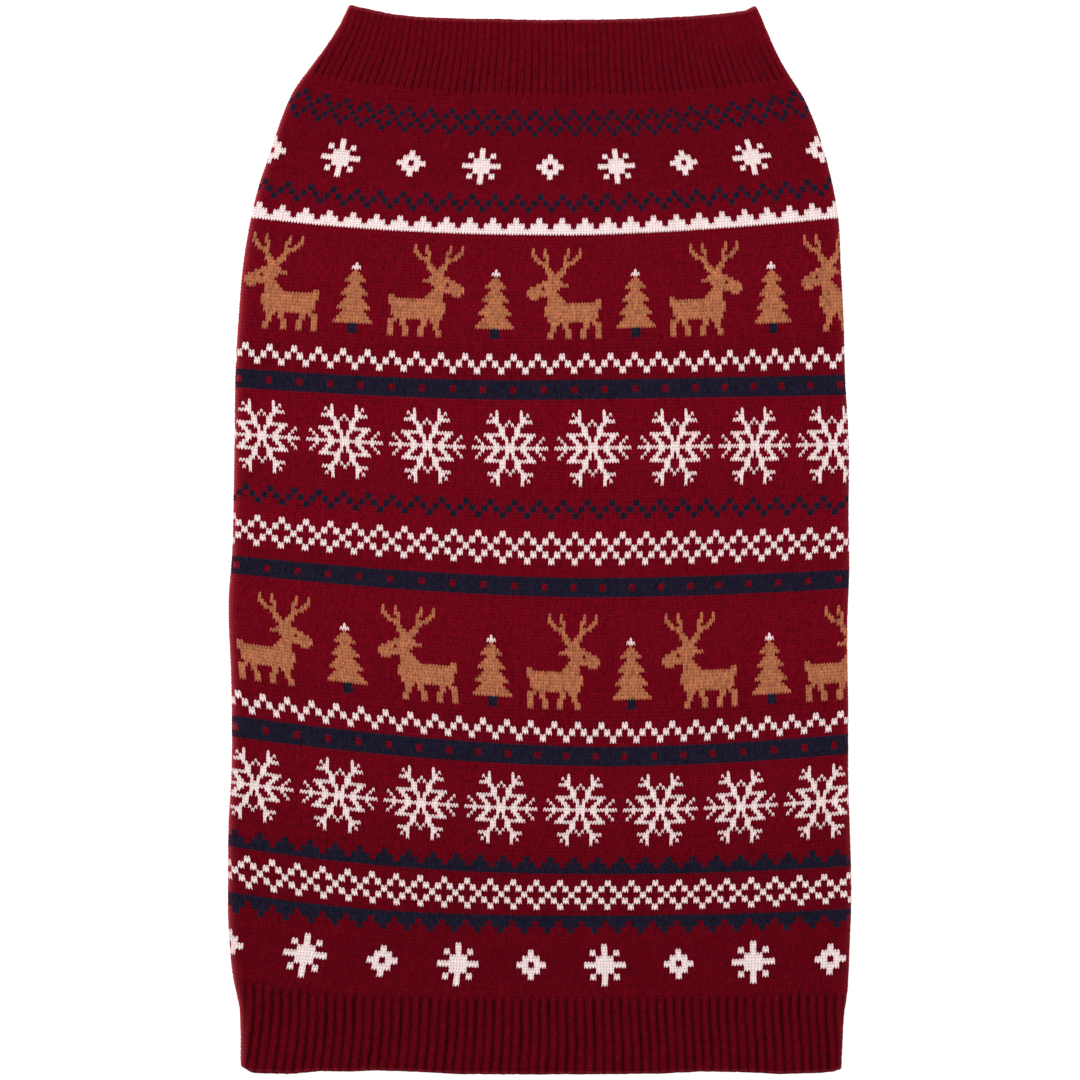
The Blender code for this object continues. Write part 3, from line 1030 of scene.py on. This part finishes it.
def yarn_material(name):
    """Matt yarn with fine fibres and twisted plies, in the colour that the mesh says."""
    material = bpy.data.materials.new(name)
    material.use_nodes = True
    tree = material.node_tree
    shader = tree.nodes["Principled BSDF"]
    set_inputs(shader, YARN_SURFACE)
    colour = node(tree, "ShaderNodeAttribute", attribute_name="yarn")
    fibres = node(tree, "ShaderNodeTexNoise", FIBRES)
    coordinates = node(tree, "ShaderNodeTexCoord")
    tree.links.new(coordinates.outputs["Object"], fibres.inputs["Vector"])
    spread = node(tree, "ShaderNodeMapRange", FIBRE_TONES)
    tree.links.new(fibres.outputs["Fac"], spread.inputs["Value"])
    tint = node(tree, "ShaderNodeVectorMath", operation="SCALE")
    tree.links.new(colour.outputs["Color"], tint.inputs[0])
    tree.links.new(spread.outputs["Result"], tint.inputs["Scale"])
    tree.links.new(tint.outputs["Vector"], shader.inputs["Base Color"])
    plies = math_node(tree, "MULTIPLY", ply_height(tree), PLY_SHARE)
    height = math_node(tree, "ADD", fibres.outputs["Fac"], plies)
    bump = node(tree, "ShaderNodeBump", YARN_BUMP)
    tree.links.new(height, bump.inputs["Height"])
    tree.links.new(bump.outputs["Normal"], shader.inputs["Normal"])
    return material


# Leg openings
OPENING_CUT = 1.8             # how far outside an opening's edge the stitches stop
ROLL_WIDTH = 4.2              # the cloth rolled round the edge of each opening
ROLL_HEIGHT = 2.1
ROLL_STEPS = 148              # points round an opening, one for each half stitch of the roll
ROLL_SECTION = 10
ROLL_GROOVE = 0.22
ROLL_CORNER = 0.55            # power that makes the roll's section a rounded box


def off_openings(wale, row):
    """True where the cloth isn't cut away for a leg."""
    at = place(wale, row, 0.0)
    clear = np.ones(at.shape[:-1], bool)
    for side in (-1, 1):
        across = (at[..., 0] - side * LEG_FROM_MIDDLE) / (LEG_HALF_WIDTH + OPENING_CUT)
        along = (at[..., 1] - LEG_Y) / (LEG_HALF_LENGTH + OPENING_CUT)
        clear &= across**2 + along**2 > 1.0
    return clear


def open_loops(cloth):
    """Closed lines of points along the edges that have a triangle on one side only."""
    triangles = np.concatenate(cloth.triangles)
    starts = triangles.ravel()
    ends = triangles[:, [1, 2, 0]].ravel()
    alone = ~np.isin(starts * cloth.count + ends, ends * cloth.count + starts)
    following = dict(zip(starts[alone].tolist(), ends[alone].tolist()))
    loops = []
    while following:
        first, point = following.popitem()
        loop = [first]
        while point != first:
            loop.append(point)
            point = following.pop(point)
        loops.append(loop)
    return loops


def once_round(points, loop, side):
    """A loop round an opening from its lowest angle on, and how far round each point is."""
    at = points[loop]
    angle = np.arctan2(at[:, 1] - LEG_Y, at[:, 0] - side * LEG_FROM_MIDDLE)
    if np.sum(np.sin(np.roll(angle, -1) - angle)) < 0:
        angle = -angle
    first = int(np.argmin(angle))
    ordered = loop[first:] + loop[: first + 1]
    progress = (np.roll(angle, -first) + math.pi) / (2 * math.pi)
    return ordered, np.append(progress, 1.0)


def close_openings(cloth):
    """Joins the outside and the inside of the cloth round each leg opening."""
    points = np.concatenate(cloth.points)
    loops = open_loops(cloth)
    for side, band in zip((-1, 1), CLOSING_BANDS):
        here = [loop for loop in loops if points[loop][:, 0].mean() * side > 0]
        outer, inner = sorted(here, key=lambda loop: points[loop][:, 2].mean())
        outer, at_outer = once_round(points, outer, side)
        inner, at_inner = once_round(points, inner[::-1], side)
        triangles = np.array(zip_lines(outer, inner, at_outer, at_inner))
        flat_map = np.broadcast_to(in_band(0.0, 0.0, band), (*triangles.shape, 2))
        cloth.add_lining(triangles, np.full((*triangles.shape, 3), RIM_COLOUR), flat_map)


def roll_edge(cloth, side, band):
    """Adds the rolled edge round a leg opening. Its grid runs down round the opening."""
    turn = 2 * math.pi * np.arange(ROLL_STEPS + 1)[:, None] / ROLL_STEPS
    about = 2 * math.pi * np.arange(ROLL_SECTION + 1)[None, :] / ROLL_SECTION
    turn, about = np.broadcast_arrays(turn, about)
    groove = np.where(np.arange(ROLL_STEPS + 1) % 2 == 1, ROLL_GROOVE, 0.0)[:, None]
    groove = np.broadcast_to(groove, turn.shape)
    out = np.sign(np.cos(about)) * np.abs(np.cos(about)) ** ROLL_CORNER
    up = np.sign(np.sin(about)) * np.abs(np.sin(about)) ** ROLL_CORNER
    out = ROLL_WIDTH / 2 * (1 + out)
    up = ROLL_HEIGHT / 2 + (ROLL_HEIGHT / 2 - UNDERSIDE_CREST - groove) * up
    x = side * LEG_FROM_MIDDLE + (LEG_HALF_WIDTH + out) * np.cos(turn)
    y = LEG_Y + (LEG_HALF_LENGTH + out) * np.sin(turn)
    ids = cloth.add_points(np.stack([x, y, up], axis=-1)[:-1, :-1])
    ids = corners_of(np.pad(ids, ((0, 1), (0, 1)), mode="wrap"))
    spots = corners_of(np.stack([turn * ROLL_STEPS / 4 / math.pi, about], axis=-1))
    places = corners_of(in_band(turn / (2 * math.pi), about / (2 * math.pi), band))
    # The roll's ground yarn with painted shade in its grooves, darker by the groove's depth
    tones = corners_of((1 - groove)[..., None] * YARN_TABLE[GROUND])
    for names in (("top_left", "low_left", "low_right"), ("top_left", "low_right", "top_right")):
        triangles = np.stack([ids[name] for name in names], axis=-1)
        stitches = np.stack([spots[name] for name in names], axis=-2)
        flat_map = np.stack([places[name] for name in names], axis=-2)
        colours = np.stack([tones[name] for name in names], axis=-2)
        cloth.add_triangles(triangles, colours, stitches, flat_map, OUTSIDE)


def knitted_piece(name, first_wale, wales, first_row, rows, materials, seed):
    """A piece without openings."""
    cloth = Cloth()
    grid = knit(cloth, first_wale, wales, first_row, rows, seed)
    line_inside(cloth, grid, first_wale, first_row)
    return make_piece(name, cloth, materials)


def belly_piece(name, materials, seed):
    """The belly panel, which has the leg openings."""
    first_wale = UPPER_WALES + SEAM_WALES
    wales = UPPER_WALES - 2 * SEAM_WALES
    rows = BODY_LAST_ROW - BODY_FIRST_ROW
    cloth = Cloth()
    grid = knit(cloth, first_wale, wales, BODY_FIRST_ROW, rows, seed, off_openings)
    line_inside(cloth, grid, first_wale, BODY_FIRST_ROW, off_openings)
    close_openings(cloth)
    for side, band in zip((-1, 1), ROLL_BANDS):
        roll_edge(cloth, side, band)
    return make_piece(name, cloth, materials)


def build_sweater():
    """The back panel in three meshes, the belly panel, the collar and the hem.
    """
    materials = [yarn_material("knit_outside"), yarn_material("knit_inside")]
    wales = UPPER_WALES + 2 * SEAM_WALES
    for i, (first, last) in enumerate(zip(BACK_SPLITS, BACK_SPLITS[1:])):
        name = "back_knit_" + "abc"[i]
        rows = last - first
        piece = knitted_piece(name, -SEAM_WALES, wales, first, rows, materials, seed=10 + i)
        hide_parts("back_panel")

    belly = belly_piece("belly_knit", materials, seed=20)
    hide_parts("belly_panel")

    ring = (-UPPER_MIDDLE, TUBE_WALES)
    collar = knitted_piece("neck_knit", *ring, 0, NECK_ROWS, materials, seed=30)
    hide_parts("neck_rib")

    hem = knitted_piece("hem_knit", *ring, BODY_LAST_ROW, HEM_ROWS, materials, seed=40)
    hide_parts("hem_rib")


# Stage, lights and camera, in metres
FLOOR_SIZE = 6.0
FLOOR_SURFACE = {
    "Base Color": (0.3, 0.3, 0.3, 1.0),
    "Roughness": 0.9,
    "Specular IOR Level": 0.0,
    "Emission Color": (1.0, 1.0, 1.0, 1.0),
    "Emission Strength": 0.9,
}
SKY = {"Color": (1.0, 1.0, 1.0, 1.0), "Strength": 0.55}
CAMERA_X = 0.0002
CAMERA_HEIGHT = 2.4
CAMERA_REACH = 20.0
VIEW_WIDTH = 0.6167           # how much of the floor the picture shows from side to side
SENSOR = 36.0                 # in millimetres


def build_stage():
    bpy.ops.mesh.primitive_plane_add(size=FLOOR_SIZE, location=(0.0, 0.0, 0.0))
    floor = bpy.context.object
    floor.name = "floor"
    material = bpy.data.materials.new("floor_paint")
    material.use_nodes = True
    set_inputs(material.node_tree.nodes["Principled BSDF"], FLOOR_SURFACE)
    floor.data.materials.append(material)


def area_light(name, location, size, power):
    """A square lamp that shines on the middle of the sweater."""
    data = bpy.data.lights.new(name, "AREA")
    data.shape = "SQUARE"
    data.size = size
    data.energy = power
    lamp = bpy.data.objects.new(name, data)
    lamp.location = location
    lamp.rotation_mode = "QUATERNION"
    lamp.rotation_quaternion = (-mathutils.Vector(location)).to_track_quat("-Z", "Y")
    bpy.context.scene.collection.objects.link(lamp)


def build_camera():
    """A camera straight above, which looks down unless it is turned."""
    data = bpy.data.cameras.new("camera")
    data.sensor_width = SENSOR
    data.lens = SENSOR * CAMERA_HEIGHT / VIEW_WIDTH
    data.clip_end = CAMERA_REACH
    camera = bpy.data.objects.new("camera", data)
    camera.location = (CAMERA_X, 0.0, CAMERA_HEIGHT)
    bpy.context.scene.collection.objects.link(camera)
    bpy.context.scene.camera = camera


def build_light():
    world = bpy.data.worlds.new("studio")
    world.use_nodes = True
    set_inputs(world.node_tree.nodes["Background"], SKY)
    bpy.context.scene.world = world
    area_light("key", location=(-0.5, 1.2, 1.5), size=1.0, power=26.0)
    area_light("fill", location=(0.9, -0.9, 1.6), size=1.6, power=8.0)


bpy.context.scene.view_settings.view_transform = "Standard"
build_stage()
build_sweater()
build_camera()
build_light()
